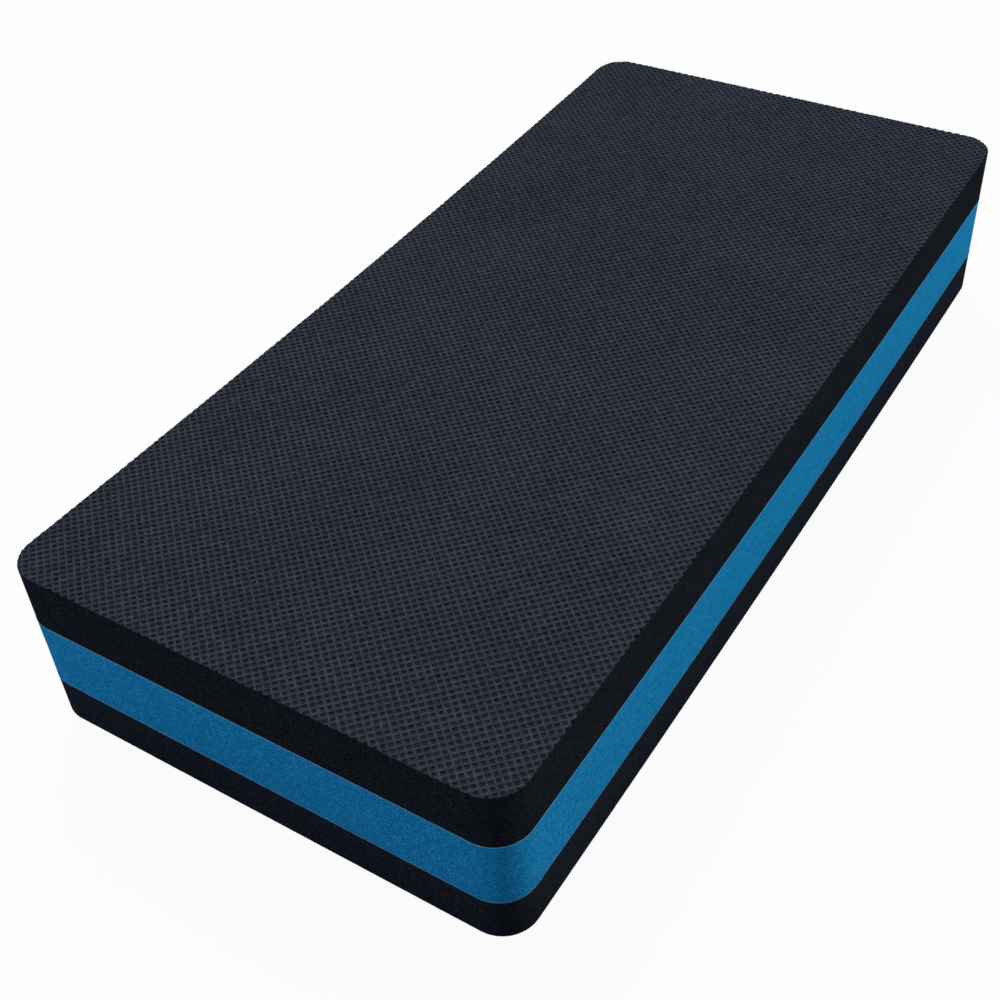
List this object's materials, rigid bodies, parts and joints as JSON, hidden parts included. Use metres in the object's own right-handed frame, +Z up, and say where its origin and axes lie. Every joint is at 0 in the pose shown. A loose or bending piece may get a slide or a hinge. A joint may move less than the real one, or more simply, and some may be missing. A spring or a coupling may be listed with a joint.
{
  "type": "balance pad",
  "caption": "Rectangular foam balance pad: black foam slabs glued to a blue core slab, with embossed non-slip faces and rounded upright corners.",
  "frame": {"origin": "centre of the underside, on the floor that the pad lies on", "axes": "+X along the pad's length, +Y across its width, +Z up through the layers"},
  "size_m": [0.445, 0.21, 0.0754],
  "materials": {
    "black_foam": "black closed-cell foam, satin embossed skin on the faces and matte where it is cut",
    "blue_foam": "blue closed-cell foam, matte, cut on every side",
    "contact_glue": "dried contact glue, dull grey"
  },
  "bodies": {
    "root": {"bottom_slab": "black_foam", "lower_glue_film": "contact_glue", "middle_slab": "blue_foam", "upper_glue_film": "contact_glue", "top_slab": "black_foam"}
  },
  "joints": []
}
